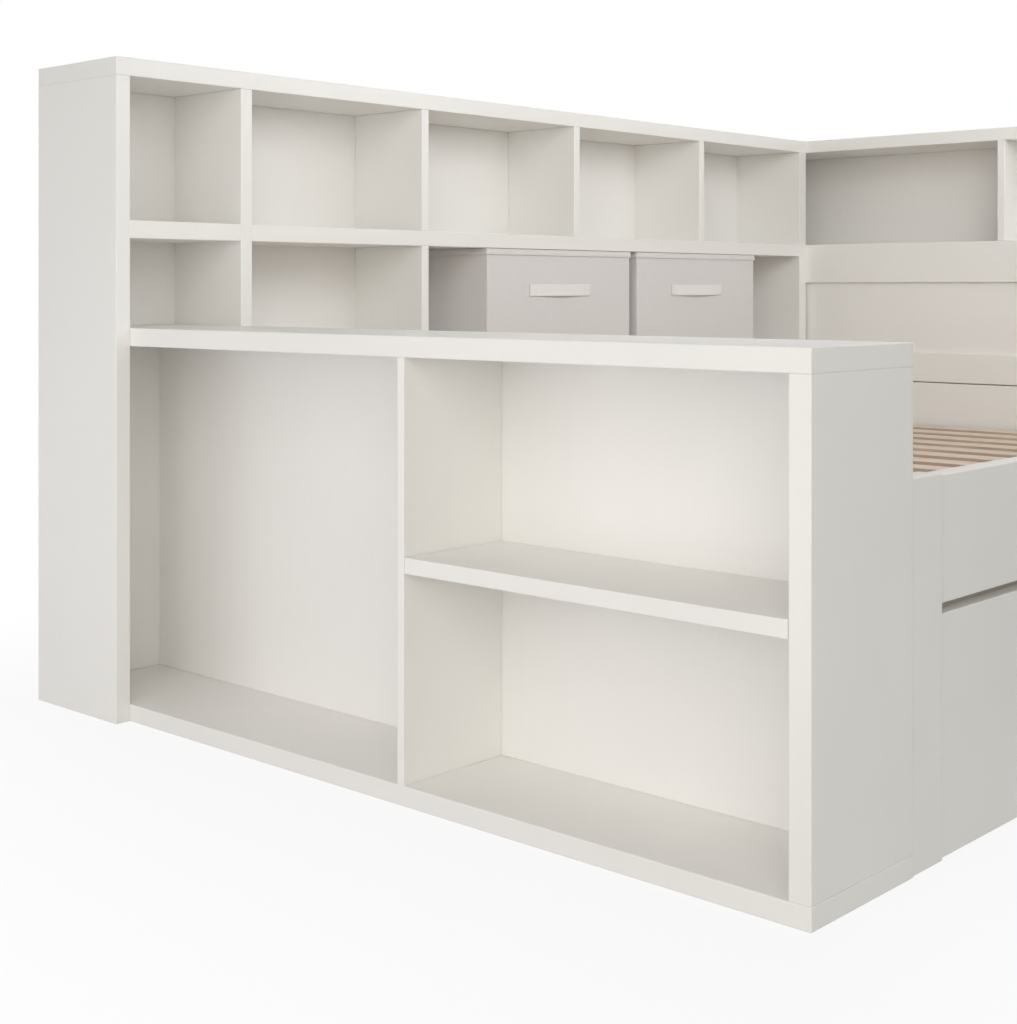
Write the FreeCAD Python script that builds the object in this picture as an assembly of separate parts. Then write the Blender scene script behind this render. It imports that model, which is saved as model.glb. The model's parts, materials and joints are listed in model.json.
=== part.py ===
import FreeCAD, Part
import os
from math import pi

# Bookcase headboard bed: a low outward-facing bookcase at the foot, a tall bookcase along
# one long side, a bookcase headboard, a slatted bed box with two rolling drawers, and two
# lidded fabric bins. Millimetres. +Z is up, +Y runs from foot to head, +X points away from
# the tall side bookcase. The origin is on the floor, in the middle of the outer footprint.

# ---- driving sizes -------------------------------------------------------------------
# overall
WIDTH = 1702.0            # outer width, side bookcase and bed box together
TALL = 1212.0             # height of the side bookcase and the headboard
LOW = 718.0               # height of the foot bookcase
FOOT_DEPTH = 254.0
HEAD_DEPTH = 260.0
SIDE_DEPTH = 261.0
CLEAR_LENGTH = 2029.0     # mattress space between foot bookcase and headboard

# board thicknesses
BOARD = 33.0              # tops, shelves and outer ends
FRONT_END = 30.0          # the side bookcase's end board in front of the foot bookcase
INNER_END = 27.0          # and its end board behind the foot bookcase
DIVIDER = 21.0            # uprights between the cubbies
NICHE_DIVIDER = 20.0      # upright between the headboard niches
PARTITION = 15.0          # upright inside the foot bookcase
LOOSE_SHELF = 25.0        # the foot bookcase's loose shelf
BASE_BOARD = 31.0         # the foot bookcase's bottom
BACK = 18.0               # backs and panels
EDGE_R = 1.0              # eased arris along every board

# heights of shelves
MID_SHELF_TOP = 915.5     # floor of the top row of cubbies and of the niches
LOWER_SHELF_TOP = 617.5   # floor of the second row of cubbies
LOOSE_SHELF_TOP = 380.0

# plan of the cubbies
SIDE_RECESS = 28.0        # wall-side edge of the top to the side bookcase's back
INNER_CUBBY = 489.5       # clear width of the two middle cubbies
HEAD_RECESS = 13.0        # the same behind the headboard
LOW_PARTITION_AT = 967.0  # from the left edge to the foot bookcase's partition
WALL_GAP = 7.0            # the ends stand in from the wall-side edge of the tops
LOOSE_SHELF_PLAY = 1.0    # gap at each end of the loose shelf

# headboard front
NICHE_FLOOR = 18.0        # board under the niches
HEAD_RAIL_HIGH = 108.5    # upper rail, down from the niche floor
PANEL_SETBACK = 9.0       # the framed panel lies behind the rails
LOW_RAIL_TOP = 616.0
LOW_RAIL_BOTTOM = 538.0
HEAD_PANEL_TOP = 535.5    # board between headboard and bed box
RAIL_THICK = 27.0         # headboard rails and the board under them

# bed box
BED_EDGE = 40.0           # bed box's inner face, in from the right face
POST_FACE = 2.5           # the posts' outer face, in from the right face
RAIL_FACE = 7.0           # the side rail's outer face, in from the right face
POST_WIDTH = 86.5
POST_TOP = 535.0
RAIL_TOP = 532.0
RAIL_BOTTOM = 354.0
SLAT_TOP = 422.0
SLAT_THICK = 18.0
SLAT_WIDTH = 68.0
SLAT_PITCH = 128.0
SLAT_END_PLAY = 2.0
LEDGE_WIDE = 30.0
LEDGE_HIGH = 34.0
BEAM_WIDE = 45.0
BEAM_HIGH = 70.0
LEG_SIDE = 45.0
GUIDE_THICK = 20.0
GUIDE_HIGH = 90.0

# drawers
DRAWER_COUNT = 2
DRAWER_FACE = 5.0         # drawer fronts' outer face, in from the right face
FRONT_THICK = 25.0
FINGER_GAP = 14.0         # open slot above the drawer fronts, to pull them by
FRONT_LIFT = 2.0          # drawer fronts clear the floor by this
FRONT_REVEAL = 3.0        # gap at each end of a drawer front
DRAWER_REAR_GAP = 55.0    # drawer back to the centre legs
DRAWER_WALL = 15.0
DRAWER_TOP_GAP = 64.0     # drawer walls to the underside of the side rail
DRAWER_BOTTOM = 12.0
GUIDE_PLAY = 0.5          # running gap between drawer sides and their guides
WHEEL_R = 22.0
WHEEL_WIDE = 16.0
WHEEL_RIM = 4.5           # tread outside the dished face
WHEEL_HUB_R = 6.5
WHEEL_DISH = 2.0
WHEEL_LIFT = 0.5          # wheels at rest, above the floor
WHEEL_INSET_X = 70.0
WHEEL_INSET_Y = 80.0
PIN_R = 3.0
PIN_PLAY = 0.1
FORK_WALL = 2.0
FORK_LONG = 34.0
FORK_PLAY = 1.0
FORK_ROOM = 3.5           # wheel to the fork's top plate

# bins
BIN_COUNT = 2
BIN_START = 186.0         # from the lower divider to the first bin
BIN_GAP = 23.0
BIN_END_GAP = 223.5       # from the last bin to the far end
BIN_BACK_GAP = 9.0
BIN_FLOAT = 0.3           # soft pieces stay this far from the boards
BIN_WALL = 4.0
LID_CLEAR = 0.8           # lid to the shelf above
LID_SHEET = 2.5
LID_APRON = 14.0
LID_PLAY = 0.4
STRAP_LONG = 219.0
STRAP_WIDE = 28.0
STRAP_THICK = 2.5
STRAP_END = 34.0          # flat sewn length at each end
STRAP_BOW = 8.0           # finger room behind the strap
STRAP_DROP = 95.0         # lid top to the middle of the strap
STRAP_ASIDE = 9.0         # sewn this far from the middle, towards the foot

# fasteners
DOWEL_R = 4.0
DOWEL_REACH = 20.0        # into each board, less in a thin one
DOWEL_SKIN = 8.0          # wood left in front of a dowel's end
DOWEL_FROM_END = 40.0     # or a quarter of a short row
SHELF_PIN_R = 2.5
SHELF_PIN_IN = 9.0
SHELF_PIN_OUT = 9.0
SHELF_PIN_FROM_EDGE = 37.0
SCREW_R = 2.0
SCREW_HEAD_R = 4.0
SCREW_HEAD_DEEP = 2.6
SLAT_SCREW = 36.0
LEDGE_SCREW = 44.0
SCREW_FROM_END = 15.0
LEDGE_SCREWS = 8

# ---- places that follow from the sizes -------------------------------------------------
LEFT = -WIDTH / 2
RIGHT = WIDTH / 2
START = -(FRONT_END + FOOT_DEPTH + CLEAR_LENGTH + HEAD_DEPTH) / 2
FOOT_FRONT = START + FRONT_END
FOOT_BACK = FOOT_FRONT + FOOT_DEPTH
HEAD_FRONT = FOOT_BACK + CLEAR_LENGTH
END = HEAD_FRONT + HEAD_DEPTH
FACE = LEFT + SIDE_DEPTH               # open face of the side bookcase
CUBBY_BACK = LEFT + SIDE_RECESS + BACK
INNER_LEFT = LEFT + WALL_GAP + BOARD   # inner face of the wall-side ends
BED_RIGHT = RIGHT - BED_EDGE
TOP_UNDER = TALL - BOARD
LOW_UNDER = LOW - BOARD
MID_UNDER = MID_SHELF_TOP - BOARD
LOWER_UNDER = LOWER_SHELF_TOP - BOARD
COLUMN_START = FOOT_BACK + INNER_END   # first cubby beyond the foot bookcase
COLUMN_END = HEAD_FRONT - BOARD
COLUMN_MID = (COLUMN_START + COLUMN_END) / 2
DIVIDER_STEP = INNER_CUBBY + DIVIDER
PARTITION_LEFT = LEFT + LOW_PARTITION_AT
LOW_INNER_RIGHT = RIGHT - BOARD
LOW_BACK_FRONT = FOOT_BACK - BOARD
NICHE_BACK = END - HEAD_RECESS - BACK
HEAD_RAIL_BOTTOM = MID_SHELF_TOP - HEAD_RAIL_HIGH
SLAT_UNDER = SLAT_TOP - SLAT_THICK
BEAM_X = (FACE + BED_RIGHT) / 2
POST_FOOT = (FOOT_BACK, FOOT_BACK + POST_WIDTH)
POST_HEAD = (HEAD_FRONT - POST_WIDTH, HEAD_FRONT)
SLAT_COUNT = int((CLEAR_LENGTH - SLAT_WIDTH) // SLAT_PITCH) + 1
SLAT_START = (FOOT_BACK + HEAD_FRONT - (SLAT_COUNT - 1) * SLAT_PITCH - SLAT_WIDTH) / 2

FRONT_BACK_X = RIGHT - DRAWER_FACE - FRONT_THICK
DRAWER_REAR_X = BEAM_X + LEG_SIDE / 2 + DRAWER_REAR_GAP
FRONT_TOP = RAIL_BOTTOM - FINGER_GAP
CASTOR_HIGH = WHEEL_LIFT + 2 * WHEEL_R + FORK_ROOM + FORK_WALL
DRAWER_RIM = RAIL_BOTTOM - DRAWER_TOP_GAP
FRONT_WIDE = (POST_HEAD[0] - POST_FOOT[1] - (DRAWER_COUNT + 1) * FRONT_REVEAL) / DRAWER_COUNT

BIN_TOP = MID_UNDER - LID_CLEAR
LOWER_DIVIDER_RIGHT = COLUMN_MID - DIVIDER_STEP + DIVIDER / 2
BIN_SPACE = COLUMN_END - LOWER_DIVIDER_RIGHT
BIN_WIDE = (BIN_SPACE - BIN_START - BIN_END_GAP - (BIN_COUNT - 1) * BIN_GAP) / BIN_COUNT
BIN_REAR = CUBBY_BACK + BIN_BACK_GAP
STRAP_MID_Z = BIN_TOP - STRAP_DROP


# ---- helpers ---------------------------------------------------------------------------
def box(x, y, z):
    """A plain block between two limits on each axis."""
    size = (x[1] - x[0], y[1] - y[0], z[1] - z[0])
    return Part.makeBox(*size, FreeCAD.Vector(x[0], y[0], z[0]))


def eased(x, y, z, radius=EDGE_R):
    """A board with every arris slightly rounded."""
    block = box(x, y, z)
    return block.makeFillet(radius, block.Edges)


def rod(radius, start, direction, length):
    return Part.makeCylinder(radius, length, FreeCAD.Vector(*start), FreeCAD.Vector(*direction))


def near(a, b):
    return a.BoundBox.intersect(b.BoundBox)


def bored(shape, tools):
    """The shape less each tool whose bounds reach it."""
    cuts = [tool for tool in tools if near(shape, tool)]
    return shape.cut(Part.Compound(cuts)) if cuts else shape


def save(name, shapes):
    shape = shapes[0] if len(shapes) == 1 else Part.Compound(shapes)
    shape.exportStep("parts/" + name + ".step")


def screw(head, direction, length):
    """A countersunk screw whose flat head is at the given point."""
    head_cone = Part.makeCone(SCREW_HEAD_R, SCREW_R, SCREW_HEAD_DEEP,
                              FreeCAD.Vector(*head), FreeCAD.Vector(*direction))
    return head_cone.fuse(rod(SCREW_R, head, direction, length))


# ---- boards, as limits on X, Y and Z -----------------------------------------------------
def foot_boards():
    inner = (INNER_LEFT, LOW_INNER_RIGHT)
    upright = (BASE_BOARD, LOW_UNDER)
    front_to_back = (FOOT_FRONT, LOW_BACK_FRONT)
    partition = (PARTITION_LEFT, PARTITION_LEFT + PARTITION)
    shelf_x = (partition[1] + LOOSE_SHELF_PLAY, LOW_INNER_RIGHT - LOOSE_SHELF_PLAY)
    shelf_z = (LOOSE_SHELF_TOP - LOOSE_SHELF, LOOSE_SHELF_TOP)
    whole = (FOOT_FRONT, FOOT_BACK)
    return {
        "foot_top": ((LEFT, RIGHT), whole, (LOW_UNDER, LOW)),
        "foot_bottom": ((LEFT, RIGHT), whole, (0.0, BASE_BOARD)),
        "foot_right_end": ((LOW_INNER_RIGHT, RIGHT), whole, upright),
        "foot_left_end": ((LEFT + WALL_GAP, INNER_LEFT), whole, upright),
        "foot_back": (inner, (LOW_BACK_FRONT, FOOT_BACK), upright),
        "foot_partition": (partition, front_to_back, upright),
        "foot_shelf": (shelf_x, (FOOT_FRONT, LOW_BACK_FRONT - LOOSE_SHELF_PLAY), shelf_z),
    }


def side_boards():
    whole_x = (LEFT, FACE)
    cubby_x = (CUBBY_BACK, FACE)
    column_y = (COLUMN_START, COLUMN_END)
    boards = {
        "side_top": (whole_x, (START, HEAD_FRONT), (TOP_UNDER, TALL)),
        "side_front_end": (whole_x, (START, FOOT_FRONT), (0.0, TOP_UNDER)),
        "side_inner_end": (cubby_x, (FOOT_BACK, COLUMN_START), (0.0, TOP_UNDER)),
        "side_far_end": (cubby_x, (COLUMN_END, HEAD_FRONT), (0.0, TOP_UNDER)),
        "side_corner_shelf": (cubby_x, (FOOT_FRONT, FOOT_BACK), (MID_UNDER, MID_SHELF_TOP)),
        "side_mid_shelf": (cubby_x, column_y, (MID_UNDER, MID_SHELF_TOP)),
        "side_lower_shelf": (cubby_x, column_y, (LOWER_UNDER, LOWER_SHELF_TOP)),
        "side_lower_panel": ((FACE - BACK, FACE), column_y, (0.0, LOWER_UNDER)),
        "side_back": ((CUBBY_BACK - BACK, CUBBY_BACK), (FOOT_FRONT, HEAD_FRONT), (0.0, TOP_UNDER)),
    }
    for number, step in enumerate((-1, 0, 1), 1):
        middle = COLUMN_MID + step * DIVIDER_STEP
        across = (middle - DIVIDER / 2, middle + DIVIDER / 2)
        boards["side_upper_divider_%d" % number] = (cubby_x, across, (MID_SHELF_TOP, TOP_UNDER))
        if number == 1:
            boards["side_lower_divider"] = (cubby_x, across, (LOWER_SHELF_TOP, MID_UNDER))
    return boards


def head_boards():
    inner = (INNER_LEFT, RIGHT - BOARD)
    middle = (inner[0] + inner[1]) / 2
    rail_y = (HEAD_FRONT, HEAD_FRONT + RAIL_THICK)
    panel_y = (HEAD_FRONT + PANEL_SETBACK, HEAD_FRONT + PANEL_SETBACK + BACK)
    floor_z = (MID_SHELF_TOP - NICHE_FLOOR, MID_SHELF_TOP)
    divider_x = (middle - NICHE_DIVIDER / 2, middle + NICHE_DIVIDER / 2)
    whole_y = (HEAD_FRONT, END)
    return {
        "head_top": ((LEFT, RIGHT), whole_y, (TOP_UNDER, TALL)),
        "head_left_end": ((LEFT + WALL_GAP, INNER_LEFT), whole_y, (0.0, TOP_UNDER)),
        "head_right_end": ((RIGHT - BOARD, RIGHT), whole_y, (0.0, TOP_UNDER)),
        "head_divider": (divider_x, (HEAD_FRONT, NICHE_BACK), (MID_SHELF_TOP, TOP_UNDER)),
        "head_niche_floor": (inner, (rail_y[1], NICHE_BACK), floor_z),
        "head_upper_rail": (inner, rail_y, (HEAD_RAIL_BOTTOM, MID_SHELF_TOP)),
        "head_panel": (inner, panel_y, (LOW_RAIL_TOP, HEAD_RAIL_BOTTOM)),
        "head_lower_rail": (inner, rail_y, (LOW_RAIL_BOTTOM, LOW_RAIL_TOP)),
        "head_back": (inner, (NICHE_BACK, NICHE_BACK + BACK), (0.0, TOP_UNDER)),
        "bed_head_panel": (inner, rail_y, (0.0, HEAD_PANEL_TOP)),
    }


def bed_boards():
    rail_x = (BED_RIGHT, RIGHT - RAIL_FACE)
    beam_x = (BEAM_X - BEAM_WIDE / 2, BEAM_X + BEAM_WIDE / 2)
    return {
        "bed_side_rail": (rail_x, (POST_FOOT[1], POST_HEAD[0]), (RAIL_BOTTOM, RAIL_TOP)),
        "bed_centre_beam": (beam_x, (FOOT_BACK, HEAD_FRONT), (SLAT_UNDER - BEAM_HIGH, SLAT_UNDER)),
    }


# pairs of boards that dowels hold together, and how many dowels each pair has
DOWELLED = [
    ("foot_top", "foot_right_end", 3), ("foot_top", "foot_left_end", 3),
    ("foot_top", "foot_partition", 3), ("foot_bottom", "foot_right_end", 3),
    ("foot_bottom", "foot_left_end", 3), ("foot_bottom", "foot_partition", 3),
    ("foot_back", "foot_right_end", 4), ("foot_back", "foot_left_end", 4),
    ("side_top", "side_front_end", 3), ("side_top", "side_inner_end", 3),
    ("side_top", "side_far_end", 3), ("side_top", "side_upper_divider_1", 2),
    ("side_top", "side_upper_divider_2", 2), ("side_top", "side_upper_divider_3", 2),
    ("side_mid_shelf", "side_inner_end", 2), ("side_mid_shelf", "side_far_end", 2),
    ("side_corner_shelf", "side_front_end", 2), ("side_lower_shelf", "side_inner_end", 2),
    ("side_lower_shelf", "side_far_end", 2), ("side_lower_shelf", "side_lower_panel", 8),
    ("side_mid_shelf", "side_lower_divider", 2), ("side_mid_shelf", "side_upper_divider_2", 2),
    ("side_mid_shelf", "side_upper_divider_3", 2), ("side_far_end", "head_upper_rail", 2),
    ("side_far_end", "head_lower_rail", 2), ("head_top", "head_left_end", 3),
    ("head_top", "head_right_end", 3), ("head_top", "head_divider", 2),
    ("head_upper_rail", "head_left_end", 2),
    ("head_upper_rail", "head_right_end", 2), ("head_lower_rail", "head_left_end", 2),
    ("head_lower_rail", "head_right_end", 2), ("bed_head_panel", "head_left_end", 4),
    ("bed_head_panel", "head_right_end", 4), ("head_upper_rail", "head_niche_floor", 8),
    ("bed_side_rail", "bed_post_foot", 3), ("bed_side_rail", "bed_post_head", 3),
    ("foot_back", "bed_centre_beam", 2), ("bed_head_panel", "bed_centre_beam", 2),
]


def dowel_row(first, second, count):
    """Dowels across the face where two boards meet, in a row along its longer side."""
    low = [max(a[0], b[0]) for a, b in zip(first, second)]
    high = [min(a[1], b[1]) for a, b in zip(first, second)]
    spans = [h - l for l, h in zip(low, high)]
    axis = spans.index(min(spans))
    along = spans.index(max(spans))
    across = 3 - axis - along
    before, after = sorted((first, second), key=lambda board: board[axis][0])
    reach_back = min(DOWEL_REACH, before[axis][1] - before[axis][0] - DOWEL_SKIN)
    reach_on = min(DOWEL_REACH, after[axis][1] - after[axis][0] - DOWEL_SKIN)
    direction = [0.0, 0.0, 0.0]
    direction[axis] = 1.0
    from_end = min(DOWEL_FROM_END, spans[along] / 4)
    pitch = (spans[along] - 2 * from_end) / (count - 1)
    dowels = []
    for number in range(count):
        start = [0.0, 0.0, 0.0]
        start[axis] = high[axis] - reach_back
        start[across] = (low[across] + high[across]) / 2
        start[along] = low[along] + from_end + number * pitch
        dowels.append(rod(DOWEL_R, start, direction, reach_back + reach_on))
    return dowels


def make_dowels(boards):
    dowels = []
    for first, second, count in DOWELLED:
        dowels += dowel_row(boards[first], boards[second], count)
    return dowels


def shelf_pins():
    """Four pins under the loose shelf: two in the partition and two in the right end."""
    z = LOOSE_SHELF_TOP - LOOSE_SHELF - SHELF_PIN_R
    pins = []
    for y in (FOOT_FRONT + SHELF_PIN_FROM_EDGE, LOW_BACK_FRONT - SHELF_PIN_FROM_EDGE):
        for x in (PARTITION_LEFT + PARTITION - SHELF_PIN_IN, LOW_INNER_RIGHT - SHELF_PIN_OUT):
            pins.append(rod(SHELF_PIN_R, (x, y, z), (1, 0, 0), SHELF_PIN_IN + SHELF_PIN_OUT))
    return pins


# ---- slatted base --------------------------------------------------------------------------
def slat_middles():
    return [SLAT_START + SLAT_WIDTH / 2 + number * SLAT_PITCH for number in range(SLAT_COUNT)]


def slat_screws():
    screws = []
    for y in slat_middles():
        for x in (FACE + SCREW_FROM_END, BED_RIGHT - SCREW_FROM_END):
            screws.append(screw((x, y, SLAT_TOP), (0, 0, -1), SLAT_SCREW))
    return screws


def ledge_screws():
    """Level screws through each ledge, between the slats, into the rail or the panel."""
    middles = slat_middles()
    screws = []
    for number in range(LEDGE_SCREWS):
        y = middles[number * (SLAT_COUNT - 1) // LEDGE_SCREWS] + SLAT_PITCH / 2
        z = SLAT_UNDER - LEDGE_HIGH / 2
        screws.append(screw((FACE + LEDGE_WIDE, y, z), (-1, 0, 0), LEDGE_SCREW))
        screws.append(screw((BED_RIGHT - LEDGE_WIDE, y, z), (1, 0, 0), LEDGE_SCREW))
    return screws


def ledges():
    z = (SLAT_UNDER - LEDGE_HIGH, SLAT_UNDER)
    wall_side = eased((FACE, FACE + LEDGE_WIDE), (FOOT_BACK, HEAD_FRONT), z)
    rail_side = eased((BED_RIGHT - LEDGE_WIDE, BED_RIGHT), (FOOT_BACK, HEAD_FRONT), z)
    return [wall_side, rail_side]


def slats():
    x = (FACE + SLAT_END_PLAY, BED_RIGHT - SLAT_END_PLAY)
    z = (SLAT_UNDER, SLAT_TOP)
    return [eased(x, (y - SLAT_WIDTH / 2, y + SLAT_WIDTH / 2), z) for y in slat_middles()]


def post_limits(y):
    return ((BED_RIGHT, RIGHT - POST_FACE), y, (0.0, POST_TOP))


def underbed_lines():
    """Y of the three lines of guides and legs: at each post and between the drawers."""
    foot = POST_FOOT[1] + FRONT_REVEAL - GUIDE_PLAY - GUIDE_THICK / 2
    head = POST_HEAD[0] - FRONT_REVEAL + GUIDE_PLAY + GUIDE_THICK / 2
    return [foot, (POST_FOOT[1] + POST_HEAD[0]) / 2, head]


def legs():
    """Three legs under the centre beam and one under the middle of the side rail."""
    beam_under = SLAT_UNDER - BEAM_HIGH
    x = (BEAM_X - LEG_SIDE / 2, BEAM_X + LEG_SIDE / 2)
    made = [eased(x, (y - LEG_SIDE / 2, y + LEG_SIDE / 2), (0.0, beam_under))
            for y in underbed_lines()]
    middle = underbed_lines()[1]
    rail_leg_y = (middle - GUIDE_THICK / 2, middle + GUIDE_THICK / 2)
    rail_leg_x = (BED_RIGHT - LEG_SIDE, BED_RIGHT)
    made.append(eased(rail_leg_x, rail_leg_y, (0.0, SLAT_UNDER - LEDGE_HIGH)))
    return made


def guides():
    """Boards on the floor that keep the drawers square, from the front to the centre legs."""
    far = BEAM_X + LEG_SIDE / 2
    foot, middle, head = underbed_lines()
    fronts = ((foot, BED_RIGHT), (middle, BED_RIGHT - LEG_SIDE), (head, BED_RIGHT))
    half = GUIDE_THICK / 2
    return [eased((far, near_x), (y - half, y + half), (0.0, GUIDE_HIGH)) for y, near_x in fronts]


# ---- drawers ---------------------------------------------------------------------------------
def drawer_span(number):
    """Both ends, along Y, of one drawer's front."""
    start = POST_FOOT[1] + FRONT_REVEAL + number * (FRONT_WIDE + FRONT_REVEAL)
    return start, start + FRONT_WIDE


def drawer_sides_span(number):
    """Outer faces of one drawer's sides, each a running gap from its guide."""
    foot, middle, head = underbed_lines()
    lines = ((foot, middle), (middle, head))[number]
    off = GUIDE_THICK / 2 + GUIDE_PLAY
    return lines[0] + off, lines[1] - off


def castor_fork(x, y):
    """A folded steel fork: a top plate with a cheek on each side of the wheel."""
    half = WHEEL_WIDE / 2 + FORK_PLAY + FORK_WALL
    axle_z = WHEEL_R + WHEEL_LIFT
    z = (axle_z - PIN_R - FORK_WALL, CASTOR_HIGH)
    block = box((x - FORK_LONG / 2, x + FORK_LONG / 2), (y - half, y + half), z)
    inside = box((x - FORK_LONG, x + FORK_LONG), (y - half + FORK_WALL, y + half - FORK_WALL),
                 (0.0, CASTOR_HIGH - FORK_WALL))
    return block.cut(inside).cut(rod(PIN_R, (x, y - half, axle_z), (0, 1, 0), 2 * half))


def castor_pin(x, y):
    half = WHEEL_WIDE / 2 + FORK_PLAY + FORK_WALL
    return rod(PIN_R, (x, y - half, WHEEL_R + WHEEL_LIFT), (0, 1, 0), 2 * half)


def wheel(x, y):
    """A solid wheel with a dished hub on each face and rounded tread edges."""
    z = WHEEL_R + WHEEL_LIFT
    half = WHEEL_WIDE / 2
    body = rod(WHEEL_R, (x, y - half, z), (0, 1, 0), WHEEL_WIDE)
    rims = [edge for edge in body.Edges if isinstance(edge.Curve, Part.Circle)]
    body = body.makeFillet(WHEEL_DISH, rims)
    for start, way in ((y - half, 1), (y + half, -1)):
        ring = rod(WHEEL_R - WHEEL_RIM, (x, start, z), (0, way, 0), WHEEL_DISH)
        hub = rod(WHEEL_HUB_R, (x, start, z), (0, way, 0), WHEEL_DISH)
        body = body.cut(ring.cut(hub))
    return body.cut(rod(PIN_R + PIN_PLAY, (x, y - half, z), (0, 1, 0), WHEEL_WIDE))


def save_drawer(number):
    name = "drawer_%d_" % (number + 1)
    front_y = drawer_span(number)
    side_y = drawer_sides_span(number)
    x = (DRAWER_REAR_X, FRONT_BACK_X)
    floor_z = (CASTOR_HIGH, CASTOR_HIGH + DRAWER_BOTTOM)
    wall_z = (CASTOR_HIGH, DRAWER_RIM)
    inner_y = (side_y[0] + DRAWER_WALL, side_y[1] - DRAWER_WALL)
    back_x = (x[0], x[0] + DRAWER_WALL)
    save(name + "front", [eased((FRONT_BACK_X, RIGHT - DRAWER_FACE), front_y,
                                (FRONT_LIFT, FRONT_TOP))])
    save(name + "sides", [eased(x, (side_y[0], inner_y[0]), wall_z),
                          eased(x, (inner_y[1], side_y[1]), wall_z)])
    save(name + "back", [eased(back_x, inner_y, wall_z)])
    save(name + "bottom", [box((back_x[1], x[1]), inner_y, floor_z)])
    rows = {"rear": x[0] + WHEEL_INSET_X, "front": x[1] - WHEEL_INSET_X}
    wheel_y = (side_y[0] + WHEEL_INSET_Y, side_y[1] - WHEEL_INSET_Y)
    castors = []
    for row, at in rows.items():
        save(name + row + "_wheels", [wheel(at, y) for y in wheel_y])
        for y in wheel_y:
            castors += [castor_fork(at, y), castor_pin(at, y)]
    save(name + "castors", castors)


# ---- fabric bins -------------------------------------------------------------------------------
def bin_span(number):
    start = LOWER_DIVIDER_RIGHT + BIN_START + number * (BIN_WIDE + BIN_GAP)
    return start, start + BIN_WIDE


def strap(face_x, middle_y):
    """A webbing strap, sewn flat at both ends and bowed outwards between them."""
    z = STRAP_MID_Z - STRAP_WIDE / 2
    end = STRAP_LONG / 2
    flat = end - STRAP_END
    out = face_x + STRAP_THICK

    def at(x, y):
        return FreeCAD.Vector(x, middle_y + y, z)

    outer = Part.Arc(at(out, -flat), at(out + STRAP_BOW, 0), at(out, flat)).toShape()
    inner = Part.Arc(at(face_x, flat), at(face_x + STRAP_BOW, 0), at(face_x, -flat)).toShape()
    corners = [(at(out, -end), at(out, -flat)), (at(out, flat), at(out, end)),
               (at(out, end), at(face_x, end)), (at(face_x, end), at(face_x, flat)),
               (at(face_x, -flat), at(face_x, -end)), (at(face_x, -end), at(out, -end))]
    lines = [Part.makeLine(a, b) for a, b in corners]
    wire = Part.Wire(Part.__sortEdges__([outer, inner] + lines))
    return Part.Face(wire).extrude(FreeCAD.Vector(0, 0, STRAP_WIDE))


def save_bin(number):
    name = "bin_%d_" % (number + 1)
    lid_y = bin_span(number)
    lid_x = (BIN_REAR, FACE)
    inset = LID_SHEET + LID_PLAY
    box_x = (lid_x[0] + inset, lid_x[1] - inset)
    box_y = (lid_y[0] + inset, lid_y[1] - inset)
    bottom = LOWER_SHELF_TOP + BIN_FLOAT
    rim = BIN_TOP - LID_SHEET
    body = eased(box_x, box_y, (bottom, rim))
    hollow = box((box_x[0] + BIN_WALL, box_x[1] - BIN_WALL),
                 (box_y[0] + BIN_WALL, box_y[1] - BIN_WALL), (bottom + BIN_WALL, BIN_TOP))
    save(name + "box", [body.cut(hollow)])
    cover = eased(lid_x, lid_y, (rim - LID_APRON + LID_SHEET, BIN_TOP))
    room = box((lid_x[0] + LID_SHEET, lid_x[1] - LID_SHEET),
               (lid_y[0] + LID_SHEET, lid_y[1] - LID_SHEET), (bottom, rim))
    save(name + "lid", [cover.cut(room)])
    save(name + "handle", [strap(box_x[1], (lid_y[0] + lid_y[1]) / 2 - STRAP_ASIDE)])


# ---- the whole bed -------------------------------------------------------------------------------
def save_fixed_boards():
    boards = {**foot_boards(), **side_boards(), **head_boards(), **bed_boards()}
    posts = {"bed_post_foot": post_limits(POST_FOOT), "bed_post_head": post_limits(POST_HEAD)}
    dowels = make_dowels({**boards, **posts})
    pins = shelf_pins()
    slat_fixings = slat_screws()
    ledge_fixings = ledge_screws()
    tools = dowels + pins + slat_fixings + ledge_fixings
    # the side bookcase's back is notched round the foot bookcase
    notch = box((LEFT, FACE), (FOOT_FRONT, FOOT_BACK), (0.0, LOW))
    for name, limits in boards.items():
        board = eased(*limits)
        if name == "side_back":
            board = board.cut(notch)
        save(name, [bored(board, tools)])
    save("bed_posts", [bored(eased(*limits), tools) for limits in posts.values()])
    save("slat_ledges", [bored(ledge, tools) for ledge in ledges()])
    save("slats", [bored(slat, slat_fixings) for slat in slats()])
    save("bed_legs", legs())
    save("drawer_guides", guides())
    save("carcass_dowels", dowels)
    save("shelf_pins", pins)
    save("bed_screws", slat_fixings + ledge_fixings)


os.makedirs("parts", exist_ok=True)
save_fixed_boards()
for drawer in range(DRAWER_COUNT):
    save_drawer(drawer)
for fabric_bin in range(BIN_COUNT):
    save_bin(fabric_bin)
print("wheel turns per metre of drawer travel: %.3f" % (1000 / (2 * pi * WHEEL_R)))
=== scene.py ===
import json
import math

import bmesh
import bpy
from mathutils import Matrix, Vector, noise


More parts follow.
